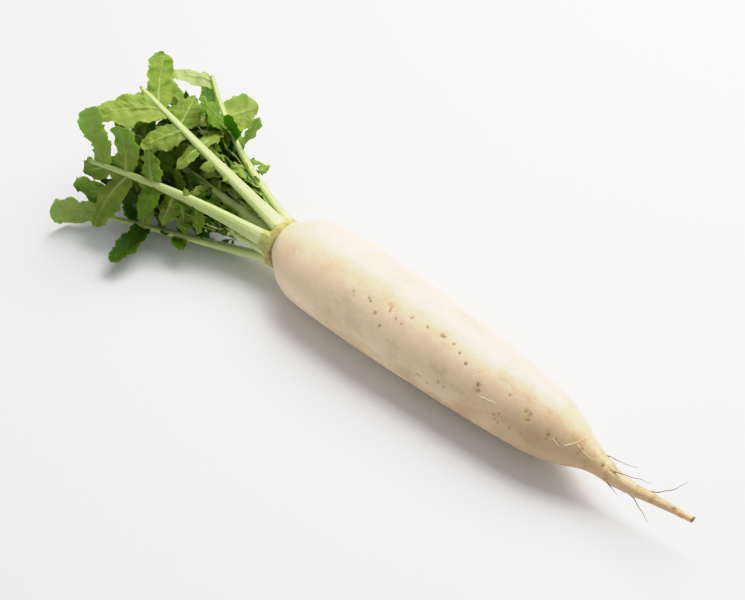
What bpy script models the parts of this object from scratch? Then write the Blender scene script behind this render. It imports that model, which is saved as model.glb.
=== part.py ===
"""A daikon radish with its trimmed leaves, lying on its side.

Metres, +Z up. +X runs down the root towards its tail, +Y is the far side and -Y the near side. The origin is on
the surface that the root rests on, in the middle of its length. The root is one grown piece. Each leaf is a
stalk with leaflets on both sides, and a few hair roots grow from the tail.
"""

from math import cos, pi, radians, sin

import bmesh
import bpy
import numpy as np

MM = 0.001
GAP = 0.3 * MM  # between two pieces that touch in life

# The root: (place along X, radius) in millimetres, from the middle of the crown to the cut end of the tail.
ROOT_OUTLINE = (
    (-145.4, 6.0),
    (-144.8, 10.5),
    (-143.9, 13.6),
    (-142.4, 16.0),
    (-139.5, 18.5),
    (-134.5, 22.3),
    (-128.0, 27.4),
    (-120.0, 31.3),
    (-108.0, 34.2),
    (-90.0, 35.2),
    (-60.0, 35.4),
    (-30.0, 35.0),
    (0.0, 34.0),
    (30.0, 32.6),
    (60.0, 30.5),
    (85.0, 28.2),
    (105.0, 25.9),
    (122.0, 22.6),
    (135.0, 18.2),
    (146.0, 13.0),
    (156.0, 9.4),
    (167.0, 7.3),
    (180.0, 5.6),
    (200.0, 4.1),
    (220.0, 3.0),
    (235.0, 2.5),
)
ROOT_SIDES = 32
ROOT_RINGS = 44
# The root's middle line is at least this high at these two places along X, and level with what it rests on between.
HEIGHT_AT_CROWN = (-0.145, 0.0335)
HEIGHT_AT_TAIL = (0.030, 0.0328)
# How far the middle line bends to the near side and down: (place along X, bend) in millimetres.
ROOT_BEND = (
    (-150.0, -1.2),
    (-125.0, -0.5),
    (-100.0, 0.4),
    (-40.0, 0.6),
    (30.0, -1.2),
    (85.0, 0.1),
    (120.0, 1.0),
    (140.0, 1.8),
    (160.0, 3.0),
    (175.0, 5.0),
    (190.0, 4.0),
    (210.0, 1.4),
    (235.0, -1.8),
)
BEND_SIDEWAYS, BEND_DOWN = 0.7, 0.7

# The leaves. ring: where the stalk starts on the crown, in degrees from the top round by the far side, and
# millimetres from the axis. heading: degrees from -X towards +Y, and rise: degrees above level, each at the
# stalk's base and at its tip. size: length, width and thickness at the base, and width at the tip, in millimetres.
LEAVES = {
    "upper": {"ring": (8, 10.5), "heading": (-3, 1), "rise": (23, 18), "size": (159, 11.5, 8.5, 3.0)},
    "near": {"ring": (292, 12.5), "heading": (-10, -28), "rise": (15, 5), "size": (157, 11.2, 9.0, 2.8)},
    "far": {"ring": (68, 12.5), "heading": (7, 33), "rise": (14, 17), "size": (151, 11.5, 8.5, 2.8)},
    "low_near": {"ring": (250, 14.5), "heading": (-8, -28), "rise": (5, 3), "size": (143, 8.0, 6.5, 2.4)},
    "bottom": {"ring": (215, 17.0), "heading": (-19, -20), "rise": (-5, 0), "size": (156, 11.0, 8.0, 3.0)},
    "low_middle": {"ring": (170, 14.0), "heading": (-2, -6), "rise": (-4, -2), "size": (133, 9.0, 7.0, 2.4)},
    "low_far": {"ring": (122, 15.0), "heading": (14, 24), "rise": (-6, -1), "size": (140, 10.0, 7.5, 2.6)},
    "inner": {"ring": (290, 3.5), "heading": (-4, -4), "rise": (7, 8), "size": (115, 7.5, 6.0, 2.0)},
    "young": {"ring": (120, 5.5), "heading": (9, 14), "rise": (6, 10), "size": (98, 5.0, 4.2, 1.8)},
}

# The leaflets of each leaf, from the tip down. at: place along the stalk, 0 to 1. side: 1 or -1, across the leaf.
# spread: degrees from the stalk's own direction. tilt: degrees out of the leaf's plane, towards its upper face.
# twist: degrees about the leaflet's own line. curl: degrees that it bends along its length, towards its upper
# face. size: length and width in millimetres.
LEAFLETS = {
    "upper": (
        {"at": 0.88, "side": 1, "spread": 40, "tilt": 5, "twist": 14, "curl": -14, "size": (50, 24)},
        {"at": 0.85, "side": -1, "spread": 49, "tilt": 8, "twist": 6, "curl": 18, "size": (46, 26)},
        {"at": 0.72, "side": 1, "spread": 56, "tilt": -6, "twist": 6, "curl": 20, "size": (35, 20)},
        {"at": 0.69, "side": -1, "spread": 73, "tilt": 8, "twist": 6, "curl": 22, "size": (32, 18)},
        {"at": 0.57, "side": 1, "spread": 80, "tilt": -4, "twist": -24, "curl": 25, "size": (26, 13)},
        {"at": 0.57, "side": -1, "spread": 88, "tilt": 15, "twist": -30, "curl": 20, "size": (21, 12)},
    ),
    "near": (
        {"at": 0.92, "side": 1, "spread": 75, "tilt": -4, "twist": -16, "curl": -30, "size": (52, 20)},
        {"at": 0.77, "side": 1, "spread": 77, "tilt": -6, "twist": -2, "curl": -20, "size": (38, 21)},
        {"at": 0.64, "side": 1, "spread": 77, "tilt": -22, "twist": -14, "curl": 14, "size": (27, 17)},
        {"at": 0.92, "side": -1, "spread": 36, "tilt": 15, "twist": 0, "curl": 20, "size": (18, 12)},
        {"at": 0.79, "side": -1, "spread": 70, "tilt": -15, "twist": -26, "curl": 12, "size": (50, 26)},
        {"at": 0.71, "side": -1, "spread": 88, "tilt": -5, "twist": -16, "curl": 16, "size": (38, 19)},
        {"at": 0.54, "side": -1, "spread": 86, "tilt": -10, "twist": -2, "curl": 10, "size": (24, 13)},
    ),
    "far": (
        {"at": 0.97, "side": -1, "spread": 61, "tilt": 61, "twist": 24, "curl": 20, "size": (33, 19)},
        {"at": 0.96, "side": 1, "spread": 104, "tilt": 23, "twist": 48, "curl": 14, "size": (45, 18)},
        {"at": 0.74, "side": 1, "spread": 67, "tilt": -46, "twist": 24, "curl": 16, "size": (35, 24)},
        {"at": 0.59, "side": -1, "spread": 69, "tilt": -19, "twist": -42, "curl": 16, "size": (24, 16)},
        {"at": 0.53, "side": -1, "spread": 88, "tilt": -50, "twist": 82, "curl": 12, "size": (28, 14)},
        {"at": 0.45, "side": -1, "spread": 99, "tilt": -136, "twist": 0, "curl": 12, "size": (9, 9)},
        {"at": 0.37, "side": -1, "spread": 83, "tilt": -114, "twist": 0, "curl": 12, "size": (8, 8)},
    ),
    "low_near": (
        {"at": 1, "side": 1, "spread": -27, "tilt": 15, "twist": 12, "curl": 14, "size": (29, 24)},
        {"at": 0.84, "side": 1, "spread": 60, "tilt": 27, "twist": 0, "curl": 18, "size": (28, 17)},
        {"at": 0.80, "side": -1, "spread": 60, "tilt": 10, "twist": 10, "curl": 10, "size": (28, 17)},
        {"at": 0.51, "side": -1, "spread": 52, "tilt": -7, "twist": -26, "curl": 8, "size": (19, 12)},
    ),
    "bottom": (
        {"at": 1, "side": 1, "spread": 34, "tilt": -15, "twist": 58, "curl": 8, "size": (35, 27)},
        {"at": 0.70, "side": 1, "spread": 83, "tilt": -40, "twist": 2, "curl": 22, "size": (46, 20)},
        {"at": 0.78, "side": -1, "spread": 67, "tilt": 36, "twist": 0, "curl": -12, "size": (30, 18)},
        {"at": 0.52, "side": 1, "spread": 118, "tilt": -28, "twist": 0, "curl": 20, "size": (17, 10)},
        {"at": 0.38, "side": -1, "spread": 30, "tilt": 23, "twist": 0, "curl": 20, "size": (20, 11)},
    ),
    "low_middle": (
        {"at": 1, "side": 1, "spread": 10, "tilt": 14, "twist": 16, "curl": 10, "size": (36, 24)},
        {"at": 0.80, "side": 1, "spread": 58, "tilt": 22, "twist": 0, "curl": 12, "size": (28, 17)},
        {"at": 0.78, "side": -1, "spread": 60, "tilt": 30, "twist": 0, "curl": 10, "size": (29, 18)},
        {"at": 0.58, "side": -1, "spread": 66, "tilt": 34, "twist": 0, "curl": 10, "size": (22, 13)},
    ),
    "low_far": (
        {"at": 1, "side": 1, "spread": 10, "tilt": 10, "twist": 10, "curl": 10, "size": (40, 26)},
        {"at": 0.82, "side": -1, "spread": 62, "tilt": -12, "twist": 0, "curl": 14, "size": (34, 19)},
        {"at": 0.76, "side": 1, "spread": 60, "tilt": 30, "twist": 0, "curl": 16, "size": (31, 18)},
        {"at": 0.58, "side": -1, "spread": 74, "tilt": -10, "twist": 0, "curl": 14, "size": (24, 13)},
    ),
    "inner": (
        {"at": 1, "side": 1, "spread": -12, "tilt": 26, "twist": -4, "curl": 14, "size": (28, 20)},
        {"at": 0.83, "side": -1, "spread": 67, "tilt": 10, "twist": 10, "curl": 14, "size": (23, 15)},
        {"at": 0.85, "side": 1, "spread": 74, "tilt": -5, "twist": 10, "curl": 14, "size": (17, 14)},
        {"at": 0.61, "side": 1, "spread": 87, "tilt": -96, "twist": -44, "curl": 14, "size": (18, 9)},
    ),
    "young": (
        {"at": 1, "side": 1, "spread": 14, "tilt": 4, "twist": 20, "curl": 14, "size": (20, 13)},
        {"at": 0.78, "side": -1, "spread": 58, "tilt": 4, "twist": 0, "curl": 14, "size": (15, 9)},
        {"at": 0.68, "side": 1, "spread": 58, "tilt": 4, "twist": 0, "curl": 14, "size": (15, 9)},
    ),
}
BLADE_THICKNESS = 0.8 * MM
BLADE_ROWS, BLADE_COLUMNS = 9, 5
BLADE_CUP = 0.16  # how far the edges rise towards the upper face, as a share of the half width
LEAFLET_STALK = 1.1 * MM  # half width where a leaflet meets its stalk
TABLE_CLEARANCE = 0.8 * MM  # lowest height of a blade's middle surface

# The hair roots on the tail. at: place along X. round: degrees about the tail, from the top by the near side.
# lean: degrees from the tail's direction, and bend: degrees that it turns downwards along its length.
HAIR_ROOTS = (
    {"at": 160.0, "round": -42, "lean": 24, "bend": 4, "length": 31},
    {"at": 174.0, "round": -20, "lean": 12, "bend": 4, "length": 35},
    {"at": 197.0, "round": -60, "lean": 34, "bend": -38, "length": 33},
    {"at": 183.0, "round": 112, "lean": 38, "bend": 24, "length": 29},
    {"at": 165.0, "round": 96, "lean": 22, "bend": 12, "length": 13},
)
HAIR_RADIUS = 0.45 * MM

SKIN = {"color": (0.90, 0.84, 0.72), "roughness": 0.42}
STALK_GREEN = {"color": (0.52, 0.66, 0.25), "roughness": 0.45}
BLADE_GREEN = {"color": (0.17, 0.32, 0.07), "roughness": 0.5}
HAIR_TAN = {"color": (0.70, 0.60, 0.42), "roughness": 0.6}


def clear_scene():
    for obj in list(bpy.data.objects):
        bpy.data.objects.remove(obj)


def material(name, look):
    made = bpy.data.materials.new(name)
    made.use_nodes = True
    shader = made.node_tree.nodes["Principled BSDF"]
    shader.inputs["Base Color"].default_value = (*look["color"], 1.0)
    shader.inputs["Roughness"].default_value = look["roughness"]
    shader.inputs["Metallic"].default_value = 0.0
    return made


def add_object(name, points, faces, look):
    """One closed mesh as an object, with its faces turned outwards."""
    mesh = bpy.data.meshes.new(name)
    mesh.from_pydata([tuple(p) for p in points], [], faces)
    cleaner = bmesh.new()
    cleaner.from_mesh(mesh)
    bmesh.ops.recalc_face_normals(cleaner, faces=cleaner.faces)
    bmesh.ops.triangulate(cleaner, faces=cleaner.faces)
    cleaner.to_mesh(mesh)
    cleaner.free()
    mesh.shade_smooth()
    mesh.set_sharp_from_angle(angle=radians(40))
    mesh.materials.append(look)
    obj = bpy.data.objects.new(name, mesh)
    bpy.context.scene.collection.objects.link(obj)
    return obj


def smooth_through(points, x):
    """The height at x of a smooth curve through the points that never swings past them.

    It is a cubic between each two points. Its slope at a point is the harmonic mean of the two chords' slopes,
    or level where they differ in sign."""
    px, py = np.array(points, float).T
    chord = np.diff(py) / np.diff(px)
    before, after = chord[:-1], chord[1:]
    same = before * after > 0
    mean = np.where(same, 2 * before * after / np.where(same, before + after, 1), 0)
    slope = np.concatenate([chord[:1], mean, chord[-1:]])
    x = np.clip(x, px[0], px[-1])
    i = np.clip(np.searchsorted(px, x) - 1, 0, len(px) - 2)
    step = px[i + 1] - px[i]
    t = (x - px[i]) / step
    return (
        (2 * t**3 - 3 * t**2 + 1) * py[i]
        + (t**3 - 2 * t**2 + t) * step * slope[i]
        + (3 * t**2 - 2 * t**3) * py[i + 1]
        + (t**3 - t**2) * step * slope[i + 1]
    )


def eased(t):
    """0 below 0, 1 above 1, and smooth between."""
    t = np.clip(t, 0, 1)
    return t * t * (3 - 2 * t)


def root_radius(x):
    return smooth_through(ROOT_OUTLINE, x / MM) * MM


def root_axis(x):
    """(y, z) of the root's middle line: its underside is level where it rests, and the tail stays up."""
    resting = root_radius(x) * cos(pi / ROOT_SIDES)
    (near_x, near_z), (far_x, far_z) = HEIGHT_AT_CROWN, HEIGHT_AT_TAIL
    lifted = np.interp(x, (near_x, far_x), (near_z, far_z))
    soft = 0.15 * MM
    height = lifted + soft * np.logaddexp(0, (resting - lifted) / soft)
    bend = smooth_through(ROOT_BEND, x / MM) * MM
    free = eased((x - 0.03) / 0.05)
    return -BEND_SIDEWAYS * bend, height - BEND_DOWN * bend * free


def tube_faces(rings, sides):
    """Quads between rings of points, and at each end a fan of triangles to the point in its middle."""
    faces = [
        (r * sides + s, r * sides + (s + 1) % sides, (r + 1) * sides + (s + 1) % sides, (r + 1) * sides + s)
        for r in range(rings - 1)
        for s in range(sides)
    ]
    last, middle = (rings - 1) * sides, rings * sides
    faces += [(s, middle, (s + 1) % sides) for s in range(sides)]
    faces += [(last + s, last + (s + 1) % sides, middle + 1) for s in range(sides)]
    return faces


def root_points():
    """Rings about the root's middle line, closer together at the shoulder and where the tail begins."""
    known = np.array([p[0] for p in ROOT_OUTLINE]) * MM
    x = np.interp(np.linspace(0, len(known) - 1, ROOT_RINGS), np.arange(len(known)), known)
    radius = root_radius(x)
    sway, height = root_axis(x)
    around = (np.arange(ROOT_SIDES) + 0.5) / ROOT_SIDES * 2 * pi
    points = np.empty((ROOT_RINGS, ROOT_SIDES, 3))
    points[..., 0] = x[:, None]
    points[..., 1] = sway[:, None] + radius[:, None] * np.sin(around)
    points[..., 2] = height[:, None] - radius[:, None] * np.cos(around)
    points[..., 2][np.abs(points[..., 2]) < 1e-5] = 0.0
    ends = [(x[i], sway[i], height[i]) for i in (0, -1)]
    return np.concatenate([points.reshape(-1, 3), ends])


def crown_x(out):
    """Where along X the crown's surface is, at this distance from the root's middle line."""
    x = np.linspace(ROOT_OUTLINE[0][0], ROOT_OUTLINE[9][0], 200) * MM
    return np.interp(out, np.maximum.accumulate(root_radius(x)), x)


def unit(v):
    return v / np.linalg.norm(v, axis=-1, keepdims=True)


def direction(heading, rise):
    """Unit vectors at these degrees from -X towards +Y, and above level."""
    h, r = np.radians(heading), np.radians(rise)
    return np.stack([-np.cos(r) * np.cos(h), np.cos(r) * np.sin(h), np.sin(r)], axis=-1)


def stalk_frame(leaf, count):
    """Along a stalk: its points, its directions, the directions across it, and its upper face's directions."""
    spec = LEAVES[leaf]
    length = spec["size"][0] * MM
    t = np.linspace(0, 1, count)
    heading = spec["heading"][0] + (spec["heading"][1] - spec["heading"][0]) * t
    rise = spec["rise"][0] + (spec["rise"][1] - spec["rise"][0]) * t
    along = direction(heading, rise)
    ring, out = radians(spec["ring"][0]), spec["ring"][1] * MM
    start = np.array([crown_x(0) - GAP, out * sin(ring), HEIGHT_AT_CROWN[1] + out * cos(ring)])
    steps = (along[1:] + along[:-1]) / 2 * length / (count - 1)
    points = start + np.concatenate([[np.zeros(3)], np.cumsum(steps, axis=0)])
    level = unit(np.cross(along, [0, 0, 1.0]))
    upright = unit(np.cross(level, along))
    across = cos(ring) * level - sin(ring) * upright
    face = np.cross(along, across)
    lowest = stalk_width(leaf, t) / 2 + GAP
    points[:, 2] = np.maximum(points[:, 2], lowest)
    return points, along, across, face


def stalk_width(leaf, t):
    """Full width, narrowing from the base to the tip."""
    _, base, _, tip = LEAVES[leaf]["size"]
    return (base + (tip - base) * t**0.8) * MM


def stalk_points(leaf, rings, sides):
    points, _, across, face = stalk_frame(leaf, rings)
    _, base, thick, _ = LEAVES[leaf]["size"]
    width = stalk_width(leaf, np.linspace(0, 1, rings)) / 2
    around = np.arange(sides) / sides * 2 * pi
    side = width[:, None, None] * np.cos(around)[None, :, None] * across[:, None]
    rise = width[:, None, None] * thick / base * np.sin(around)[None, :, None] * face[:, None]
    tube = points[:, None] + side + rise
    tube[0] = on_crown(tube[0])
    return np.concatenate([tube.reshape(-1, 3), on_crown(points[:1]), points[-1:]])


def on_crown(points):
    """The points moved along X to just off the crown's surface."""
    sideways, height = root_axis(points[:, 0])
    out = np.hypot(points[:, 1] - sideways, points[:, 2] - height)
    return np.column_stack([crown_x(out) - 3 * GAP, points[:, 1:]])


def blade_half_width(u, width):
    """Half width at u along a leaflet: narrow at its stalk, widest past the middle, and rounded at the tip."""
    body = np.sin(pi * np.clip(u, 0, 1) ** 1.25) ** 0.75
    return np.maximum(width / 2 * body, LEAFLET_STALK * (1 - u) + 0.12 * width * u)


def blade_middle(leaf, spec, rows, columns):
    """The middle surface of a leaflet, as a grid of points from its base to its tip and from edge to edge.

    Its line is an arc that starts beside the stalk and bends by curl towards the upper face. Across, it is
    cupped, so that the edges stand towards the upper face."""
    points, along, across, face = stalk_frame(leaf, 101)
    n = int(round(spec["at"] * 100))
    spread, tilt = radians(spec["spread"]), radians(spec["tilt"])
    outwards = spec["side"] * cos(tilt) * across[n] + sin(tilt) * face[n]
    start = cos(spread) * along[n] + sin(spread) * outwards
    normal = unit(face[n] - (face[n] @ start) * start)
    sideways = np.cross(start, normal)
    twist = radians(spec["twist"]) * spec["side"]
    normal, sideways = (
        cos(twist) * normal + sin(twist) * sideways,
        cos(twist) * sideways - sin(twist) * normal,
    )
    length, width = (s * MM for s in spec["size"])
    reach = stalk_width(leaf, spec["at"]) / 2 + 2.5 * GAP + BLADE_THICKNESS / 2 + LEAFLET_STALK * cos(spread)
    base = points[n] + (along[n] * 2.5 * GAP if spec["at"] == 1 else outwards * reach)
    u = np.linspace(0, 1, rows)
    bend = radians(spec["curl"]) * u
    heading = np.cos(bend)[:, None] * start + np.sin(bend)[:, None] * normal
    facing = np.cos(bend)[:, None] * normal - np.sin(bend)[:, None] * start
    steps = (heading[1:] + heading[:-1]) / 2 * length / (rows - 1)
    line = base + np.concatenate([[np.zeros(3)], np.cumsum(steps, axis=0)])
    v = np.linspace(-1, 1, columns)
    half = blade_half_width(u, width)
    rise = BLADE_CUP * half[:, None] * v**2
    grid = line[:, None] + (half[:, None] * v)[..., None] * sideways + rise[..., None] * facing[:, None]
    grid[..., 2] = above_table(grid[..., 2])
    return grid


def above_table(z):
    """Heights kept off the table: unchanged well above it, and levelling out just over it."""
    low, soft = TABLE_CLEARANCE, 3 * MM
    return low + soft * np.logaddexp(0, (z - low) / soft * 3) / 3


def plate(grid, thickness):
    """A closed plate of this thickness about a grid of points: (points, faces)."""
    rows, columns = grid.shape[:2]
    normal = unit(np.cross(np.gradient(grid, axis=0), np.gradient(grid, axis=1)))
    points = np.concatenate([(grid + s * normal * thickness / 2).reshape(-1, 3) for s in (1, -1)])
    n = rows * columns
    cell = [(r * columns + c, r * columns + c + 1, (r + 1) * columns + c + 1, (r + 1) * columns + c)
            for r in range(rows - 1) for c in range(columns - 1)]
    faces = cell + [tuple(i + n for i in reversed(f)) for f in cell]
    rim = (
        [c for c in range(columns)]
        + [r * columns + columns - 1 for r in range(1, rows)]
        + [(rows - 1) * columns + c for c in range(columns - 2, -1, -1)]
        + [r * columns for r in range(rows - 2, 0, -1)]
    )
    faces += [(b, a, a + n, b + n) for a, b in zip(rim, rim[1:] + rim[:1])]
    return points, faces


def build_root(look):
    add_object("root", root_points(), tube_faces(ROOT_RINGS, ROOT_SIDES), look)


def build_stalks(look):
    rings, sides = 15, 12
    for leaf in LEAVES:
        add_object(f"stalk_{leaf}", stalk_points(leaf, rings, sides), tube_faces(rings, sides), look)


def build_leaflets(look):
    for leaf, specs in LEAFLETS.items():
        for number, spec in enumerate(specs, 1):
            grid = blade_middle(leaf, spec, BLADE_ROWS, BLADE_COLUMNS)
            add_object(f"leaflet_{leaf}_{number}", *plate(grid, BLADE_THICKNESS), look)


def hair_line(spec, count):
    """A hair root's points: it leaves the tail's side at an angle to it, and turns downwards."""
    x = spec["at"] * MM
    sway, height = root_axis(np.array([x]))
    turned = radians(spec["round"])
    out = np.array([0.0, -sin(turned), cos(turned)])
    down = np.array([0.0, 0.0, -1.0])
    lean, bend = radians(spec["lean"]), np.radians(spec["bend"]) * np.linspace(0, 1, count)
    ahead = cos(lean) * np.array([1.0, 0.0, 0.0]) + sin(lean) * out
    heading = unit(ahead + np.tan(bend)[:, None] * down)
    start = np.array([x, sway[0], height[0]]) + out * (float(root_radius(x)) + GAP + HAIR_RADIUS * 1.2)
    steps = heading[1:] * spec["length"] * MM / (count - 1)
    return start + np.concatenate([[np.zeros(3)], np.cumsum(steps, axis=0)]), heading


def build_hair_roots(look):
    rings, sides = 9, 6
    around = np.arange(sides) / sides * 2 * pi
    for number, spec in enumerate(HAIR_ROOTS, 1):
        line, heading = hair_line(spec, rings)
        level = unit(np.cross(heading, [0, 0, 1.0]))
        upright = np.cross(level, heading)
        radius = HAIR_RADIUS * (1 - 0.45 * np.linspace(0, 1, rings))[:, None, None]
        ring = np.cos(around)[None, :, None] * level[:, None] + np.sin(around)[None, :, None] * upright[:, None]
        points = (line[:, None] + radius * ring).reshape(-1, 3)
        points = np.concatenate([points, line[:1], line[-1:]])
        add_object(f"hair_root_{number}", points, tube_faces(rings, sides), look)


def main():
    clear_scene()
    skin = material("skin", SKIN)
    stalk_green = material("stalk_green", STALK_GREEN)
    blade_green = material("blade_green", BLADE_GREEN)
    hair_tan = material("hair_tan", HAIR_TAN)
    build_root(skin)
    build_stalks(stalk_green)
    build_leaflets(blade_green)
    build_hair_roots(hair_tan)


main()
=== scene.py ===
"""The looks of a daikon radish with its trimmed leaves, made around its CAD model.

Metres, +Z up. +X runs down the root towards its tail and the leaves lie towards -X. Every piece is a
surface that is worked out on a grid of two parameters, and its place is in its mesh.
"""

from math import cos, pi, radians, sin

import bpy
import numpy as np
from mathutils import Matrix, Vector


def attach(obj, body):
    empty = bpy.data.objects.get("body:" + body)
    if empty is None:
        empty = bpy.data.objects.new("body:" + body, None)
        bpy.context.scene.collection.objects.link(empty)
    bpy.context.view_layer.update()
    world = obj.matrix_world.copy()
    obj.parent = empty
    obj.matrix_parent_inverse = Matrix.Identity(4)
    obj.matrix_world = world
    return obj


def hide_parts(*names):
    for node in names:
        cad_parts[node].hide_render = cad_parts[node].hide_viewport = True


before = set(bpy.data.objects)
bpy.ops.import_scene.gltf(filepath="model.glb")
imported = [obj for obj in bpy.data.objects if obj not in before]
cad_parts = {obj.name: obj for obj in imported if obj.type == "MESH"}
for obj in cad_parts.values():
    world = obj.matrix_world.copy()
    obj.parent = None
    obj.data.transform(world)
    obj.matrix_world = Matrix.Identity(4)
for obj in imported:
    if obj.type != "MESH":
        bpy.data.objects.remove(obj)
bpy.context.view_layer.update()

MM = 0.001

# --------------------------------------------------------------------------------- the radish's plan

# The root, from the middle of the crown to the cut end of the tail: (place along X, radius) in
# millimetres.
ROOT_OUTLINE = (
    (-145.4, 6.0), (-144.8, 10.5), (-143.9, 13.6), (-142.4, 16.0), (-139.5, 18.5), (-134.5, 22.3),
    (-128.0, 27.4), (-120.0, 31.3), (-108.0, 34.2), (-90.0, 35.2), (-60.0, 35.4), (-30.0, 35.0),
    (0.0, 34.0), (30.0, 32.6), (60.0, 30.5), (85.0, 28.2), (105.0, 25.9), (122.0, 22.6), (135.0, 18.2),
    (146.0, 13.0), (156.0, 9.4), (167.0, 7.3), (180.0, 5.6), (200.0, 4.1), (220.0, 3.0), (235.0, 2.5),
)
SHOULDER = -90.0  # millimetres along X, up to which the root only widens
ROOT_SIDES = 32  # the sides of the CAD root, whose flats it rests on
# The height of its middle line at two places along X, where nothing lifts it.
HEIGHT_AT_CROWN = (-0.145, 0.0335)
HEIGHT_AT_TAIL = (0.030, 0.0328)
# How far the root's middle line bends to the near side and down: (place along X, bend) in millimetres.
ROOT_BEND = (
    (-150.0, -1.2), (-125.0, -0.5), (-100.0, 0.4), (-40.0, 0.6), (30.0, -1.2), (85.0, 0.1), (120.0, 1.0),
    (140.0, 1.8), (160.0, 3.0), (175.0, 5.0), (190.0, 4.0), (210.0, 1.4), (235.0, -1.8),
)
BEND_SHARE = 0.7  # how much of that bend goes to the side, and as much goes down where the tail is free

# The leaves. ring: where the stalk starts on the crown, in degrees from the top round by the far side,
# and millimetres from the axis. heading: degrees from -X towards +Y, and rise: degrees above level, each
# at the stalk's base and at its tip. size: length, width and thickness at the base, and width at the tip,
# in millimetres. neck: millimetres of old, rough skin at its base. deep: how much deeper the green is
# than a plain stalk's; the undergrowth's deep green is painted shade for stalks under the other leaves.
def leaf_plan(ring, heading, rise, size, neck=4.5, deep=0.0, **more):
    stalk = {"ring": ring, "heading": heading, "rise": rise, "size": size}
    return {**stalk, "neck": neck, "deep": deep, **more}


LEAVES = {
    "upper": leaf_plan((8, 10.5), (-3, 1), (23, 18), (159, 13.8, 9.5, 3.4)),
    "near": leaf_plan((292, 12.5), (-13, -25), (13, 7), (157, 14.2, 10.5, 3.2), neck=9.5),
    "far": leaf_plan((68, 12.5), (7, 33), (14, 17), (151, 13.2, 9.5, 5.2), neck=3.0),
    "low_near": leaf_plan((250, 14.5), (-8, -28), (5, 3), (143, 8.0, 6.5, 2.4)),
    "bottom": leaf_plan((215, 17.0), (-19.5, -23), (-5, 0), (156, 13.4, 9.2, 4.4), neck=4.0),
    "low_middle": leaf_plan((170, 14.0), (-2, -6), (-4, -2), (133, 9.0, 7.0, 2.4)),
    "low_far": leaf_plan((122, 15.0), (14, 24), (-6, -1), (140, 10.0, 7.5, 2.6)),
    "inner": leaf_plan((290, 3.5), (-4, -4), (13, 6), (116, 12.0, 9.0, 3.8), deep=0.1),
    "young": leaf_plan((120, 5.5), (9, 14), (6, 10), (98, 5.0, 4.2, 1.8)),
}

# The outline of half a blade: (place along it, half width), with half of the blade's stated width as 1.
# The blade's tip is rounded off besides.
ROUND = ((0, 0.45), (0.25, 0.9), (0.55, 1.0), (1, 0.85))
BROAD = ((0, 0.85), (0.2, 0.95), (0.5, 1.0), (1, 0.75))
POINTED = ((0, 0.35), (0.25, 0.9), (0.5, 0.85), (1, 0.15))
PADDLE = ((0, 0.6), (0.3, 0.78), (0.7, 1.0), (1, 1.1))

# What a blade has where its leaflet says nothing. outer and inner: its outline on the side of the stalk's
# tip and of its base. cup: degrees that each half bends towards the upper face, and fold: degrees that
# each half is turned that way at the midrib. sweep: degrees that the midrib turns towards the stalk's
# tip. wave: height of the ruffles at its edge, teeth: depth of the small teeth, and lobe: depth of the
# large ones, in millimetres. tone: 0 for a plain green, above 0 for a lighter and yellower one, below 0
# for a darker one; beside the leaflets' own differences it holds painted light on leaflets in shade and
# painted shade on leaves deep in the bunch. ripen: how much the tone rises from base to
# tip, as painted light. joined: how far its base runs along the stalk, 0 to 1. mesh: size of the mesh's
# cells in millimetres.
BLADE = {
    "outer": ROUND, "inner": ROUND, "cup": 14, "fold": 0, "sweep": 0, "wave": 1.2, "teeth": 1.05,
    "lobe": 1.7, "tone": 0.0, "ripen": 0.0, "joined": 1.0, "mesh": 0.55,
}
TIP_POWER = 5  # how blunt a blade's tip is
BLADE_THICKNESS = 0.45 * MM
VEIN_SPACING = 4.6  # millimetres along the midrib


# The leaflets of each leaf, from the tip down. at: place along the stalk, 0 to 1. side: 1 or -1, across
# the leaf. spread: degrees from the stalk's own direction. tilt: degrees out of the leaf's plane, towards
# its upper face. twist: degrees about the leaflet's own line. curl: degrees that it bends along its
# length, towards its upper face. size: length and width in millimetres. The other keys are in BLADE.
def leaflet(at, side, spread, tilt, twist, curl, size, **more):
    place = {"at": at, "side": side, "spread": spread, "tilt": tilt}
    return {**BLADE, **place, "twist": twist, "curl": curl, "size": size, **more}


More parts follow.
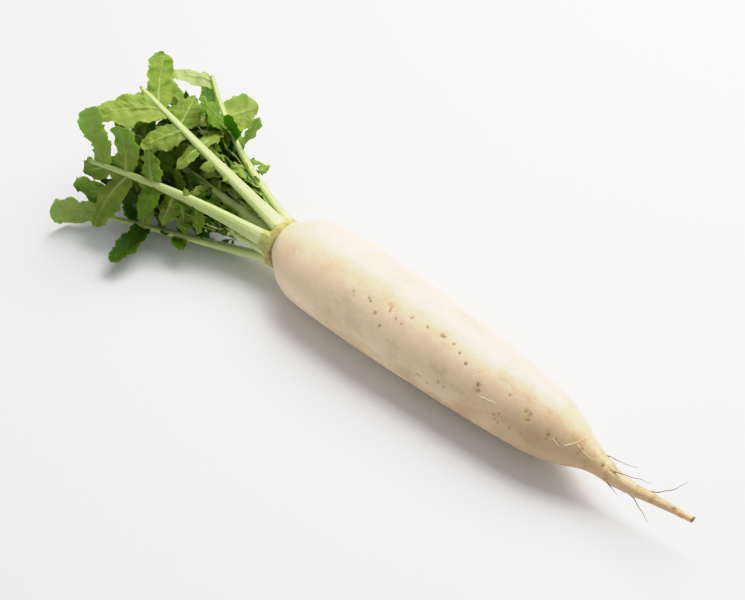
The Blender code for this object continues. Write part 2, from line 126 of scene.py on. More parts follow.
LEAFLETS = {
    "upper": (
        leaflet(0.88, 1, 46, 5, 14, -14, (50, 25), wave=1.6, lobe=1.3, tone=0.25,
                outer=((0, 0.75), (0.4, 0.84), (0.75, 1.0), (1, 1.1)),
                inner=((0, 0.75), (0.2, 0.95), (0.42, 1.3), (0.6, 1.0), (1, 1.15))),
        leaflet(0.84, -1, 54, 8, 6, 18, (49, 27), fold=-8, sweep=-16, tone=1.15,
                outer=((0, 1.7), (0.2, 1.2), (0.36, 1.05), (0.67, 0.9), (1, 0.95)),
                inner=((0, 0.7), (0.2, 0.95), (0.4, 1.05), (0.5, 1.4), (0.7, 1.0), (1, 0.75))),
        leaflet(0.72, 1, 66, -6, 6, 20, (35, 22), tone=0.2, outer=((0, 1.1), (0.4, 0.95), (1, 0.6)),
                inner=((0, 0.6), (0.35, 1.15), (1, 0.6))),
        leaflet(0.69, -1, 73, 8, 6, 22, (34, 20), tone=0.35, outer=BROAD,
                inner=((0, 0.7), (0.4, 1.1), (0.7, 0.95), (1, 0.6))),
        leaflet(0.57, 1, 80, -4, -24, 25, (27, 13), tone=0.3, outer=BROAD),
        leaflet(0.57, -1, 88, 15, -30, 20, (23, 14), tone=0.3, outer=BROAD),
    ),
    "near": (
        leaflet(0.92, 1, 75, -4, 14, -30, (56, 21), fold=4, sweep=-28, tone=0.9, ripen=0.3,
                outer=((0, 0.8), (0.12, 0.6), (0.32, 0.4), (0.45, 0.85), (0.55, 1.2), (0.75, 1.25),
                       (1, 1.1)),
                inner=((0, 0.5), (0.1, 0.8), (0.3, 1.0), (0.48, 0.9), (0.62, 0.75), (1, 0.9))),
        leaflet(0.80, 1, 77, -6, -2, -20, (42, 21), fold=12, sweep=12, tone=0.45,
                outer=((0, 1.7), (0.15, 1.3), (0.35, 0.85), (0.6, 0.95), (0.8, 1.45), (1, 1.2)),
                inner=((0, 0.5), (0.4, 1.0), (1, 0.95))),
        leaflet(0.665, 1, 77, -22, -14, 14, (29, 19), fold=10, tone=0.1,
                outer=((0, 1.4), (0.25, 0.95), (1, 0.9)), inner=((0, 0.6), (0.4, 1.0), (1, 0.85))),
        leaflet(0.92, -1, 36, 15, 0, 20, (23, 20), teeth=1.5, tone=-0.3, outer=BROAD, inner=BROAD),
        leaflet(0.79, -1, 70, -15, -26, 12, (51, 27), sweep=-24, wave=1.6, tone=-0.1,
                outer=((0, 1.5), (0.12, 1.0), (0.28, 0.62), (0.45, 0.8), (0.65, 0.7), (1, 0.7)),
                inner=((0, 0.3), (0.17, 0.65), (0.3, 0.85), (0.46, 1.05), (0.6, 0.9), (0.78, 0.95),
                       (1, 0.8))),
        leaflet(0.66, -1, 88, -5, -16, 16, (37, 19), sweep=-10, tone=0.0,
                outer=((0, 1.4), (0.18, 0.9), (0.35, 0.75), (1, 0.65)),
                inner=((0, 0.95), (0.4, 0.85), (1, 0.85))),
        leaflet(0.54, -1, 86, -10, -2, 10, (26, 14), tone=-0.3, outer=BROAD, inner=BROAD),
    ),
    "far": (
        leaflet(0.97, -1, 61, 61, 24, 20, (38, 18), tone=1.8, outer=BROAD, inner=BROAD),
        leaflet(0.96, 1, 104, 23, 82, 14, (50, 26), cup=48, tone=2.0, joined=0.0,
                outer=((0, 0.25), (1, 0.3)), inner=BROAD),
        leaflet(0.74, 1, 76, -46, 24, 16, (36, 29), cup=8, tone=1.1, outer=BROAD, inner=BROAD),
        leaflet(0.59, -1, 69, -19, -42, 16, (27, 15), tone=-0.8, outer=BROAD),
        leaflet(0.53, -1, 88, -50, 82, 12, (32, 15), sweep=-40, tone=0.7, outer=BROAD),
        leaflet(0.45, -1, 99, -136, 0, 12, (15, 9), lobe=0.6, outer=POINTED, inner=POINTED),
        leaflet(0.37, -1, 83, -114, 0, 12, (14, 9), lobe=0.6, outer=POINTED, inner=POINTED),
    ),
    "low_near": (
        leaflet(1, 1, -27, 15, 12, 14, (30, 38), fold=-12, tone=-0.3),
        leaflet(0.84, 1, 60, 27, 0, 18, (30, 20), tone=-1.0),
        leaflet(0.80, -1, 60, 10, 10, 10, (30, 20), tone=-1.0),
        leaflet(0.51, -1, 52, -7, -26, 8, (21, 15), tone=0.3, outer=BROAD, inner=BROAD),
    ),
    "bottom": (
        leaflet(1, 1, 34, -15, 58, 8, (35, 33), wave=0.9, teeth=1.3, lobe=1.3, tone=1.5, outer=PADDLE,
                inner=PADDLE),
        leaflet(0.70, 1, 83, -40, 2, 22, (47, 22), fold=14, tone=-1.6, outer=BROAD),
        leaflet(0.78, -1, 67, 36, 0, -12, (30, 20), tone=-1.2),
        leaflet(0.52, 1, 118, -28, 0, 20, (20, 13), teeth=1.5, tone=-0.7),
        leaflet(0.38, -1, 30, 23, 0, 20, (20, 13), tone=-0.9),
    ),
    "low_middle": (
        leaflet(1, 1, 10, 14, 16, 10, (36, 26), tone=-1.3),
        leaflet(0.80, 1, 58, 22, 0, 12, (30, 20), tone=-1.0),
        leaflet(0.78, -1, 60, 30, 0, 10, (30, 20), tone=-1.2),
        leaflet(0.58, -1, 66, 34, 0, 10, (24, 16), tone=-1.2),
    ),
    "low_far": (
        leaflet(1, 1, 10, 10, 10, 10, (41, 28), tone=-1.3),
        leaflet(0.82, -1, 62, -12, 0, 14, (35, 22), tone=-1.2),
        leaflet(0.76, 1, 60, 30, 0, 16, (33, 21), tone=-0.9),
        leaflet(0.58, -1, 74, -10, 0, 14, (18, 11), tone=-1.0),
    ),
    "inner": (
        leaflet(1, 1, -12, 26, -4, 14, (30, 22), tone=-0.6),
        leaflet(0.83, -1, 67, 10, 10, 14, (25, 17), tone=-0.7),
        leaflet(0.85, 1, 74, -5, 10, 14, (20, 16), tone=-0.5),
        leaflet(0.61, 1, 87, -96, -44, 14, (19, 11), tone=0.6),
    ),
    "young": (
        leaflet(1, 1, 14, 4, 20, 14, (21, 14), tone=0.4),
        leaflet(0.78, -1, 58, 4, 0, 14, (16, 11), tone=0.4),
        leaflet(0.68, 1, 58, 4, 0, 14, (16, 11), tone=0.4),
    ),
}
# Small leaflets that hang from a stalk between its larger ones.
SMALL_LEAFLETS = {
    "far": (
        leaflet(0.66, -1, 72, 8, 10, 4, (40, 27), tone=-0.6, outer=BROAD, inner=BROAD),
    ),
    "near": (
        leaflet(0.49, -1, 112, -12, 6, 16, (27, 15), tone=-0.5, outer=BROAD, inner=BROAD),
        leaflet(0.41, -1, 108, -16, -8, 20, (21, 13), tone=-0.7, outer=POINTED, inner=BROAD),
        leaflet(0.64, -1, 84, -38, -14, 10, (24, 16), tone=-1.3, outer=BROAD, inner=BROAD),
    ),
    "bottom": (
        leaflet(0.31, -1, 108, 6, 8, 10, (15, 8), tone=-0.9, outer=POINTED, inner=POINTED),
    ),
}

# The lobes along the lower part of a leaf's stalk: from and to, as places along it.
LOBED = {
    "upper": (0.36, 0.5), "near": (0.42, 0.52), "far": (0.16, 0.3), "low_near": (0.16, 0.75),
    "bottom": (0.24, 0.66), "low_middle": (0.2, 0.7), "low_far": (0.2, 0.7), "inner": (0.22, 0.8),
    "young": (0.2, 0.65),
}
LOBE_SPACING = 7.5  # millimetres


# The leaves of the undergrowth, between and below the others. ring, heading, rise and length are as in
# LEAVES. blade: length of the largest leaflets, tone: as in BLADE, and stalk: width and thickness at the
# base, and width at the tip.
def undergrown(ring, heading, rise, length, blade, tone, stalk=(4.0, 3.4, 1.4)):
    # deep=0.9 gives their stalks a dark green that is painted shade under the other leaves.
    return leaf_plan(ring, heading, rise, (length, *stalk), deep=0.9, blade=blade, tone=tone)


# Their darkest tones are painted shade for leaves below the others.
UNDERGROWTH = (
    undergrown((262, 9.5), (-12, -26), (4, 1), 130, 27, -1.5),
    undergrown((275, 7.0), (-9, -19), (3, 5), 136, 29, -1.5),
    undergrown((330, 6.5), (-5, -10), (5, 8), 122, 26, -1.4),
    undergrown((200, 9.0), (-6, -13), (3, 3), 136, 31, -1.8),
    undergrown((170, 6.0), (-1, -2), (6, 8), 128, 29, -1.8),
    undergrown((120, 9.0), (4, 8), (5, 7), 122, 30, -1.8),
    undergrown((90, 7.5), (6, 15), (9, 9), 108, 25, -1.1),
    undergrown((60, 6.0), (3, 10), (14, 12), 84, 17, 0.5),
    undergrown((48, 9.0), (8, 17), (15, 14), 70, 15, 0.8, (3.6, 3.0, 1.2)),
    undergrown((30, 5.0), (2, 4), (12, 14), 60, 14, 0.8, (3.2, 2.8, 1.2)),
    undergrown((75, 9.5), (12, 20), (10, 11), 62, 14, 0.6, (3.2, 2.8, 1.2)),
    undergrown((345, 4.0), (-1, 3), (13, 6), 150, 27, -1.1),
    undergrown((320, 5.0), (-3, -6), (13, 5), 158, 27, -1.2),
    undergrown((50, 4.0), (4, 9), (15, 10), 150, 29, -0.6),
    undergrown((70, 4.0), (7, 17), (14, 10), 139, 28, 0.0),
    undergrown((100, 5.0), (11, 21), (8, 8), 116, 26, -1.5),
    undergrown((225, 11.0), (-14, -24), (0, 3), 88, 20, -1.5, (4.5, 3.8, 1.4)),
    undergrown((240, 10.0), (-15, -21), (3, 0), 124, 26, -1.6),
    undergrown((215, 11.5), (-12, -15), (-1, 2), 112, 25, -1.7),
    undergrown((25, 6.0), (5, 14), (17, 12), 141, 30, 0.1),
)

# The scars where hair roots were, on the near side: (place along X, degrees from the top by the near
# side, half length round the root, half length along it, depth, brownness). Lengths are in millimetres.
SCARS = (
    (-85.1, 1, 0.8, 0.8, 0.15, 0.50), (-51.0, 36, 1.3, 0.7, 0.20, 0.45),
    (-49.2, 41, 1.2, 0.7, 0.20, 0.50), (-37.7, 33, 1.5, 0.9, 0.25, 0.60),
    (-35.6, 35, 0.9, 0.9, 0.35, 0.95), (-27.6, 43, 1.2, 0.9, 0.35, 0.80),
    (-19.9, 53, 1.1, 0.9, 0.30, 0.85), (-20.5, 26, 3.0, 2.6, 0.20, 0.34),
    (-18.6, 31, 1.6, 0.8, 0.25, 0.70), (-11.7, 35, 1.2, 0.8, 0.20, 0.60),
    (-5.9, 37, 1.0, 0.8, 0.15, 0.50), (-2.4, 23, 1.8, 1.2, 0.25, 0.60), (10.9, 22, 1.2, 1.1, 0.35, 0.75),
    (24.3, 20, 1.6, 1.9, 0.45, 0.85), (34.1, 20, 1.1, 1.1, 0.30, 0.85), (41.7, 25, 1.0, 1.0, 0.35, 1.00),
    (49.9, 32, 1.3, 1.2, 0.40, 0.85), (-1.4, -7, 0.8, 0.8, 0.20, 0.70), (20.8, -28, 0.9, 0.9, 0.30, 0.95),
    (20.4, 82, 1.3, 1.6, 0.20, 0.60), (28.8, 86, 1.1, 1.1, 0.20, 0.60), (37.4, 73, 1.3, 1.5, 0.20, 0.50),
    (42.6, 76, 1.1, 1.0, 0.20, 0.55), (65.9, 45, 1.8, 1.5, 0.40, 0.75), (68.0, 52, 1.8, 1.5, 0.40, 0.75),
    (65.9, 51, 3.2, 3.0, 0.10, 0.30), (59.5, 78, 0.9, 0.9, 0.15, 0.50), (66.7, 83, 0.9, 0.9, 0.15, 0.50),
    (50.6, 16, 0.9, 0.9, 0.15, 0.40), (38.7, -11, 1.2, 0.9, 0.15, 0.35), (88.9, 31, 1.0, 1.0, 0.25, 0.80),
    (85.4, 68, 1.0, 1.0, 0.20, 0.70), (88.6, 62, 1.0, 1.0, 0.20, 0.70), (87.0, 73, 1.0, 1.0, 0.20, 0.75),
    (90.0, 76, 1.0, 1.0, 0.20, 0.75), (99.2, 74, 1.0, 1.0, 0.25, 0.85), (107.9, 71, 1.6, 0.8, 0.20, 0.45),
    (104.4, 36, 2.0, 1.2, 0.30, 0.65), (108.1, 37, 1.8, 1.2, 0.30, 0.65),
    (108.5, 46, 1.5, 1.2, 0.40, 0.75), (107.0, 39, 3.4, 3.2, 0.10, 0.30),
    (125.3, 48, 1.6, 1.1, 0.40, 0.95), (125.0, 57, 1.3, 0.9, 0.30, 0.70),
    (130.7, 49, 1.4, 1.0, 0.25, 0.60), (133.6, 53, 1.2, 0.9, 0.20, 0.50),
    (147.6, 33, 1.1, 1.1, 0.30, 1.00), (147.2, 49, 1.3, 1.1, 0.25, 0.70),
    (156.7, 23, 1.0, 1.0, 0.20, 0.70), (164.8, 26, 1.6, 1.5, 0.35, 0.90),
    (171.4, 14, 1.2, 1.2, 0.25, 0.80), (169.8, 81, 1.0, 1.2, 0.25, 0.80),
    (192.1, -11, 1.1, 1.4, 0.20, 0.90), (207.7, -7, 0.9, 1.2, 0.20, 0.70),
    (220.7, 23, 1.2, 2.0, 0.20, 0.85), (62.0, 29, 1.0, 0.9, 0.15, 0.40),
    (104.7, 14, 0.9, 0.9, 0.15, 0.35),
)
FAR_ROW = 205  # where the far side's row of scars is, in the same degrees
SCATTERED_SCARS = 46

# The hair roots on the tail. at: place along X. round: degrees about the tail, from the top by the near
# side. lean: degrees from the tail's direction, and bend: degrees that it turns downwards along its
# length.
HAIR_ROOTS = (
    {"at": 157.0, "round": -34, "lean": 4, "bend": -27, "length": 31},
    {"at": 171.0, "round": 6, "lean": 33, "bend": 8, "length": 38},
    {"at": 198.0, "round": -56, "lean": 28, "bend": -62, "length": 34},
    {"at": 186.0, "round": 117, "lean": 8, "bend": 51, "length": 26},
    {"at": 169.0, "round": 104, "lean": 5, "bend": 42, "length": 14},
)
# Fine hairs that lie on the skin, as points along each: (place along X, degrees from the top by the near
# side).
LYING_HAIRS = (
    ((71.7, 56), (78.2, 54), (84.3, 51)),
    ((137.7, 49), (141.5, 34), (143.9, 16), (145.4, -10)),
    ((129.0, 48), (134.8, 56)),
    ((144.0, 28), (149.4, 35), (156.8, 38)),
    ((20.0, 196), (27.0, 200), (32.0, 212)),
    ((96.0, 224), (103.0, 216), (106.0, 200)),
)
HAIR_ROOT_THICK, LYING_HAIR_THICK = 1.2 * MM, 0.7 * MM


# -------------------------------------------------------------------------------------------- curves


def unit(v):
    """v, or each row of v, divided by its length."""
    return v / np.linalg.norm(v, axis=-1, keepdims=True)


def eased(t):
    """0 below 0, 1 above 1, and smooth between."""
    t = np.clip(t, 0, 1)
    return t * t * (3 - 2 * t)


def smooth_through(points, x):
    """The height at x of a smooth curve through the points that never swings past them.

    It is a cubic between each two points. Its slope at a point is the harmonic mean of the two chords'
    slopes, or level where they differ in sign."""
    px, py = np.array(points, float).T
    chord = np.diff(py) / np.diff(px)
    before, after = chord[:-1], chord[1:]
    same = before * after > 0
    mean = np.where(same, 2 * before * after / np.where(same, before + after, 1), 0)
    slope = np.concatenate([chord[:1], mean, chord[-1:]])
    x = np.clip(x, px[0], px[-1])
    i = np.clip(np.searchsorted(px, x) - 1, 0, len(px) - 2)
    step = px[i + 1] - px[i]
    t = (x - px[i]) / step
    return (
        (2 * t**3 - 3 * t**2 + 1) * py[i]
        + (t**3 - 2 * t**2 + t) * step * slope[i]
        + (3 * t**2 - 2 * t**3) * py[i + 1]
        + (t**3 - t**2) * step * slope[i + 1]
    )


def swells(rng, points, length, waves=24):
    """Random low hills, about -1 to 1: a sum of cosines, each along its own direction and about this
    long."""
    ways = unit(rng.normal(size=(waves, 3)))
    number = ways * 2 * pi / length * rng.uniform(0.6, 1.6, (waves, 1))
    phase = rng.uniform(0, 2 * pi, waves)
    return np.cos(points @ number.T + phase).sum(axis=-1) / np.sqrt(waves)


def bell(distance):
    """1 at 0, falling away on both sides like a bell."""
    return np.exp(-(distance**2))


def direction(heading, rise):
    """Unit vectors at these degrees from -X towards +Y, and above level."""
    h, r = np.radians(heading), np.radians(rise)
    return np.stack([-np.cos(r) * np.cos(h), np.cos(r) * np.sin(h), np.sin(r)], axis=-1)


# -------------------------------------------------------------------------------------------- meshes


def grid_quads(rows, columns, around=False, first=0):
    """The quads between neighbours in a grid of rows by columns points. around joins the last column to
    the first."""
    r = np.arange(rows - 1)[:, None] * columns
    c = np.arange(columns if around else columns - 1)[None]
    d = (c + 1) % columns
    return (np.stack([r + c, r + d, r + columns + d, r + columns + c], axis=-1) + first).reshape(-1, 4)


def fan(ring, middle):
    """Triangles from each edge of a closed ring to one point in its middle."""
    return np.stack([ring, np.roll(ring, -1), np.full(len(ring), middle)], axis=-1)


def tube(rings):
    """Rings of points as a closed tube with a point in the middle of each end: (points, quads,
    triangles).

    A ring runs clockwise for whoever looks along the tube."""
    count, sides = rings.shape[:2]
    points = np.concatenate([rings.reshape(-1, 3), rings[:1].mean(axis=1), rings[-1:].mean(axis=1)])
    last = (count - 1) * sides + np.arange(sides)
    triangles = np.concatenate(
        [fan(np.arange(sides), count * sides), fan(last[::-1], count * sides + 1)]
    )
    return points, grid_quads(count, sides, around=True)[:, ::-1], triangles


STALK_MARKS = "along", "dry", "deep", "neck"
BLADE_MARKS = "upper", "vein", "tone", "dry", "margin"


class Shape:
    """Points and faces being gathered for one piece, with one number at each point for each of its
    marks."""

    def __init__(self, *marks):
        self.points, self.quads, self.triangles = [], [], []
        self.marks = {mark: [] for mark in marks}
        self.count = 0

    def add(self, points, quads, triangles=None, **marks):
        self.quads.append(quads + self.count)
        if triangles is not None:
            self.triangles.append(triangles + self.count)
        self.points.append(points)
        self.count += len(points)
        for mark, values in self.marks.items():
            values.append(np.broadcast_to(marks.get(mark, 0.0), len(points)))

    def piece(self, name, look, slot, nodes):
        """The gathered shape as an object that stands for these CAD nodes."""
        faces = np.concatenate(self.quads).tolist()
        if self.triangles:
            faces += np.concatenate(self.triangles).tolist()
        mesh = bpy.data.meshes.new(name)
        mesh.from_pydata(np.concatenate(self.points), [], faces)
        for mark, values in self.marks.items():
            layer = mesh.attributes.new(mark, "FLOAT", "POINT")
            layer.data.foreach_set("value", np.concatenate(values).astype(np.float32))
        mesh.shade_smooth()
        mesh.materials.append(look)
        made = bpy.data.objects.new(name, mesh)
        bpy.context.scene.collection.objects.link(made)
        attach(made, "root")
        if nodes:
            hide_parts(*nodes)
        return made


# ------------------------------------------------------------------------------------------ finishes


class Finish:
    """A material being made: its node tree and its Principled shader."""

    def __init__(self, name, **sockets):
        self.material = bpy.data.materials.new(name)
        self.material.use_nodes = True
        self.tree = self.material.node_tree
        self.shader = self.tree.nodes["Principled BSDF"]
        for socket, value in sockets.items():
            self.shader.inputs[socket.replace("_", " ")].default_value = value

    def put(self, socket, value):
        """Joins value to an input socket if it is another node's output, or sets it there."""
        if isinstance(value, bpy.types.NodeSocket):
            self.tree.links.new(value, socket)
        elif value is not None:
            socket.default_value = value

    def node(self, kind, inputs=(), **settings):
        made = self.tree.nodes.new(kind)
        for key, value in settings.items():
            setattr(made, key, value)
        for name, value in dict(inputs).items():
            self.put(made.inputs[name], value)
        return made

    def mark(self, name):
        return self.node("ShaderNodeAttribute", attribute_name=name).outputs["Fac"]

    def place(self, scale=(1, 1, 1)):
        """The point's own place, in metres, stretched by scale."""
        place = self.node("ShaderNodeTexCoord").outputs["Object"]
        return self.node("ShaderNodeMapping", {"Vector": place, "Scale": scale}).outputs["Vector"]

    def noise(self, place, scale, detail=3.0, roughness=0.55):
        inputs = {"Vector": place, "Scale": scale, "Detail": detail, "Roughness": roughness}
        return self.node("ShaderNodeTexNoise", inputs).outputs["Fac"]

    def cells(self, place, scale):
        """The distance to the edges of a net of cells."""
        inputs = {"Vector": place, "Scale": scale}
        return self.node("ShaderNodeTexVoronoi", inputs, feature="DISTANCE_TO_EDGE").outputs["Distance"]

    def between(self, value, low, high, start=0.0, end=1.0):
        """value's way from low to high, as a number from start to end that stays between them."""
        inputs = {"Value": value, "From Min": low, "From Max": high, "To Min": start, "To Max": end}
        return self.node("ShaderNodeMapRange", inputs, interpolation_type="SMOOTHSTEP").outputs["Result"]

    def worked_out(self, operation, a, b):
        made = self.node("ShaderNodeMath", operation=operation)
        self.put(made.inputs[0], a)
        self.put(made.inputs[1], b)
        return made.outputs[0]

    def sum(self, a, b):
        return self.worked_out("ADD", a, b)

    def product(self, a, b):
        return self.worked_out("MULTIPLY", a, b)

    def blend(self, share, a, b):
        """Colour a with share of colour b."""
        made = self.node("ShaderNodeMix", data_type="RGBA", clamp_factor=True)
        self.put(made.inputs["Factor"], share)
        for socket, value in zip([s for s in made.inputs if s.type == "RGBA"], (a, b)):
            self.put(socket, (*value, 1.0) if isinstance(value, tuple) else value)
        return [s for s in made.outputs if s.type == "RGBA"][0]

    def tinted(self, base, tint, value, low, high, most=1.0):
        """Colour base, with a share of colour tint that grows to most on value's way from low to high."""
        return self.blend(self.between(value, low, high, 0.0, most), base, tint)

    def colour(self, value):
        self.put(self.shader.inputs["Base Color"], value)

    def roughness(self, value):
        self.put(self.shader.inputs["Roughness"], value)

    def relief(self, height, distance, strength=1.0):
        """Small bumps of this height map, distance metres high."""
        inputs = {"Height": height, "Distance": distance, "Strength": strength}
        self.put(self.shader.inputs["Normal"], self.node("ShaderNodeBump", inputs).outputs["Normal"])


def skin_finish():
    """Cream-white skin: browner in the scars, tan towards the tail, with painted shade in tan on the near
    side, and finely grained.
    """
    look = Finish(
        "daikon_skin",
        Subsurface_Weight=0.35,
        Subsurface_Radius=(1.0, 0.62, 0.36),
        Subsurface_Scale=0.006,
        Specular_IOR_Level=0.45,
    )
    place = look.place()
    across = look.place((1.0, 0.28, 0.28))
    clouds = look.noise(place, 26.0, 4.0)
    streaks = look.noise(across, 130.0, 4.0, 0.6)
    grain = look.noise(place, 900.0, 3.0)
    cream = look.tinted((0.92, 0.74, 0.52), (0.86, 0.65, 0.41), clouds, 0.38, 0.68)
    blush = look.between(look.noise(place, 75.0, 3.0), 0.45, 0.7, 0.0, 0.4)
    cream = look.blend(blush, cream, (0.90, 0.69, 0.51))
    cream = look.tinted(cream, (0.74, 0.57, 0.37), streaks, 0.52, 0.78, 0.5)
    # The tan mark: partly the tail's own tan, partly painted shade on the near side, turned from the
    # light.
    cream = look.blend(look.mark("tan"), cream, (0.59, 0.415, 0.245))
    # Mottled brown patches, strongest where the tan and its painted shade are.
    patch = look.between(look.noise(look.place((0.6, 1.0, 1.0)), 48.0, 4.0, 0.6), 0.46, 0.65)
    patch = look.product(patch, look.sum(look.mark("tan"), 0.24))
    cream = look.blend(patch, cream, (0.56, 0.38, 0.20))
    tail = look.mark("tail")
    tan = look.tinted((0.72, 0.54, 0.30), (0.53, 0.36, 0.16), streaks, 0.35, 0.7)
    cream = look.blend(look.product(tail, look.between(streaks, 0.3, 0.7, 0.6, 1.1)), cream, tan)
    specks = look.between(look.noise(place, 700.0, 2.0), 0.3, 0.7, -0.16, 0.16)
    rough_edge = look.sum(look.mark("scar"), specks)
    stained = look.tinted(cream, (0.47, 0.32, 0.14), rough_edge, 0.05, 0.45, 0.8)
    scarred = look.tinted(stained, (0.13, 0.08, 0.035), rough_edge, 0.5, 0.9, 0.95)
    crown = look.mark("crown")
    look.colour(look.tinted(scarred, (0.55, 0.50, 0.18), crown, 0.0, 1.0, 0.75))
    look.roughness(look.between(streaks, 0.3, 0.75, 0.36, 0.50))
    look.relief(look.sum(look.product(grain, 0.35), streaks), 0.4 * MM, 0.6)
    return look.material


def stalk_finish():
    """Leaf stalk: pale at its base, yellow-green above, with fine lengthwise ribs, and brown where it is
    cut. Where its deep mark is high, as on the undergrowth, its dark green is painted shade."""
    look = Finish(
        "leaf_stalk",
        Subsurface_Weight=0.3,
        Subsurface_Radius=(0.7, 1.0, 0.3),
        Subsurface_Scale=0.0025,
        Specular_IOR_Level=0.5,
    )
    place = look.place((0.12, 1.0, 1.0))
    ribs = look.noise(place, 520.0, 3.0, 0.6)
    patches = look.noise(look.place(), 60.0, 3.0)
    along = look.sum(look.mark("along"), look.mark("deep"))
    green = look.tinted((0.66, 0.72, 0.34), (0.50, 0.60, 0.20), along, 0.0, 0.22)
    green = look.tinted(green, (0.43, 0.56, 0.16), along, 0.3, 1.0, 0.75)
    # Painted shade: the dark green that a high deep mark gives the undergrowth's stalks under the leaves.
    green = look.tinted(green, (0.13, 0.21, 0.02), along, 1.0, 1.8, 0.8)
    green = look.tinted(green, (0.70, 0.76, 0.42), ribs, 0.45, 0.75, 0.35)
    green = look.tinted(green, (0.40, 0.50, 0.13), patches, 0.5, 0.75, 0.3)
    browned = look.tinted(green, (0.36, 0.25, 0.08), look.mark("dry"), 0.3, 0.9, 0.85)
    specks = look.noise(look.place(), 260.0, 4.0)
    old = look.tinted((0.42, 0.44, 0.07), (0.34, 0.26, 0.06), specks, 0.4, 0.75)
    edge = look.sum(look.mark("neck"), look.between(specks, 0.3, 0.7, -0.2, 0.2))
    look.colour(look.tinted(browned, old, edge, 0.1, 1.1, 0.9))
    look.roughness(look.between(ribs, 0.3, 0.7, 0.34, 0.46))
    look.relief(ribs, 0.18 * MM, 0.5)
    return look.material


def blade_finish():
    """Leaf blade: deep green above, paler and duller below, with light veins and a fine net between
    them. Its tone makes it lighter and yellower, partly as painted light on leaflets in shade, or darker,
    mostly as painted shade on leaves deep in the bunch."""
    look = Finish(
        "leaf_blade",
        Subsurface_Weight=0.55,
        Subsurface_Radius=(0.5, 1.0, 0.15),
        Subsurface_Scale=0.0022,
        Specular_IOR_Level=0.12,
    )
    place = look.place()
    net = look.cells(place, 700.0)
    clouds = look.noise(place, 110.0, 3.0)
    upper = look.between(look.mark("upper"), 0.4, 0.6)
    tone = look.mark("tone")
    vein = look.mark("vein")
    under = look.tinted((0.122, 0.202, 0.012), (0.205, 0.275, 0.036), clouds, 0.35, 0.7)
    under = look.tinted(under, (0.36, 0.43, 0.13), vein, 0.25, 0.9, 0.75)
    above = look.tinted((0.040, 0.098, 0.003), (0.072, 0.150, 0.006), clouds, 0.35, 0.7)
    above = look.tinted(above, (0.20, 0.28, 0.05), vein, 0.3, 0.9, 0.7)
    green = look.blend(upper, under, above)
    green = look.blend(look.between(net, 0.0, 0.12, 0.18, 0.0), green, (0.30, 0.36, 0.09))
    green = look.tinted(green, (0.30, 0.38, 0.10), look.mark("margin"), 0.45, 1.0, 0.35)
    # Tone: the lighter colours are partly painted light on shaded leaflets, the darkest is painted shade
    # deep in the bunch.
    green = look.tinted(green, (0.275, 0.352, 0.065), tone, 0.0, 1.0, 0.8)
    green = look.tinted(green, (0.38, 0.42, 0.17), tone, 1.0, 2.0)
    green = look.tinted(green, (0.092, 0.190, 0.003), tone, 0.0, -1.0, 0.8)
    green = look.tinted(green, (0.014, 0.036, 0.001), tone, -1.0, -2.0, 0.9)
    look.colour(look.tinted(green, (0.16, 0.12, 0.03), look.mark("dry"), 0.4, 1.0, 0.7))
    look.roughness(look.between(clouds, 0.3, 0.7, 0.48, 0.62))
    look.relief(look.between(net, 0.0, 0.25), 0.12 * MM, 0.5)
    return look.material


def crown_finish():
    """The crown between stalks and skin: yellow-green, with olive and brown in its creases and along its
    rim."""
    look = Finish(
        "crown",
        Subsurface_Weight=0.25,
        Subsurface_Radius=(0.9, 1.0, 0.3),
        Subsurface_Scale=0.003,
    )
    patches = look.noise(look.place(), 240.0, 4.0)
    green = look.tinted((0.52, 0.53, 0.13), (0.60, 0.55, 0.22), patches, 0.35, 0.65)
    rim = look.sum(look.mark("dry"), look.between(patches, 0.3, 0.7, -0.25, 0.25))
    olive = look.tinted(green, (0.43, 0.37, 0.11), rim, 0.15, 0.6)
    look.colour(look.tinted(olive, (0.24, 0.15, 0.05), rim, 0.6, 1.0, 0.8))
    look.roughness(0.5)
    look.relief(patches, 0.5 * MM, 0.6)
    return look.material


def hair_finish():
    """Dry tan hair root."""
    look = Finish("hair_root", Subsurface_Weight=0.1, Subsurface_Scale=0.0008)
    flecks = look.noise(look.place(), 900.0, 2.0)
    tan = look.tinted((0.47, 0.38, 0.25), (0.30, 0.23, 0.15), flecks, 0.35, 0.7)
    look.colour(look.blend(look.mark("pale"), tan, (0.88, 0.76, 0.48)))
    look.roughness(0.6)
    return look.material


def table_finish():
    """A plain, pale, matt table."""
    look = Finish("table")
    look.colour((0.85, 0.85, 0.852, 1.0))
    look.roughness(0.7)
    return look.material


# ---------------------------------------------------------------------------------------------- root


def root_radius(x):
    """The root's radius at x: a smooth curve through its outline's points."""
    return smooth_through(ROOT_OUTLINE, x / MM) * MM


def root_axis(x):
    """(y, z) of the root's middle line: its underside is level where it rests, and the tail stays up."""
    resting = root_radius(x) * cos(pi / ROOT_SIDES)
    (near_x, near_z), (far_x, far_z) = HEIGHT_AT_CROWN, HEIGHT_AT_TAIL
    lifted = np.interp(x, (near_x, far_x), (near_z, far_z))
    soft = 0.15 * MM
    height = lifted + soft * np.logaddexp(0, (resting - lifted) / soft)
    bend = smooth_through(ROOT_BEND, x / MM) * MM
    free = eased((x - 0.03) / 0.05)
    return -BEND_SHARE * bend, height - BEND_SHARE * bend * free


def scar_table(rng):
    """All the scars, as rows like those of SCARS: the stated ones, a row of them on the far side, and
    small ones scattered all over."""
    rows = list(SCARS)
    for x in np.arange(-95.0, 150.0, 9.0):
        place = x + rng.uniform(-5, 5), FAR_ROW + rng.normal(0, 12)
        size = rng.uniform(0.9, 1.8), rng.uniform(0.8, 1.1)
        rows.append((*place, *size, rng.uniform(0.15, 0.4), rng.uniform(0.4, 1.0)))
    for _ in range(SCATTERED_SCARS):
        place = rng.uniform(-125, 150), rng.uniform(0, 360)
        size = rng.uniform(0.6, 1.3), rng.uniform(0.6, 0.9)
        rows.append((*place, *size, rng.uniform(0.05, 0.15), rng.uniform(0.1, 0.4)))
    return np.array(rows)


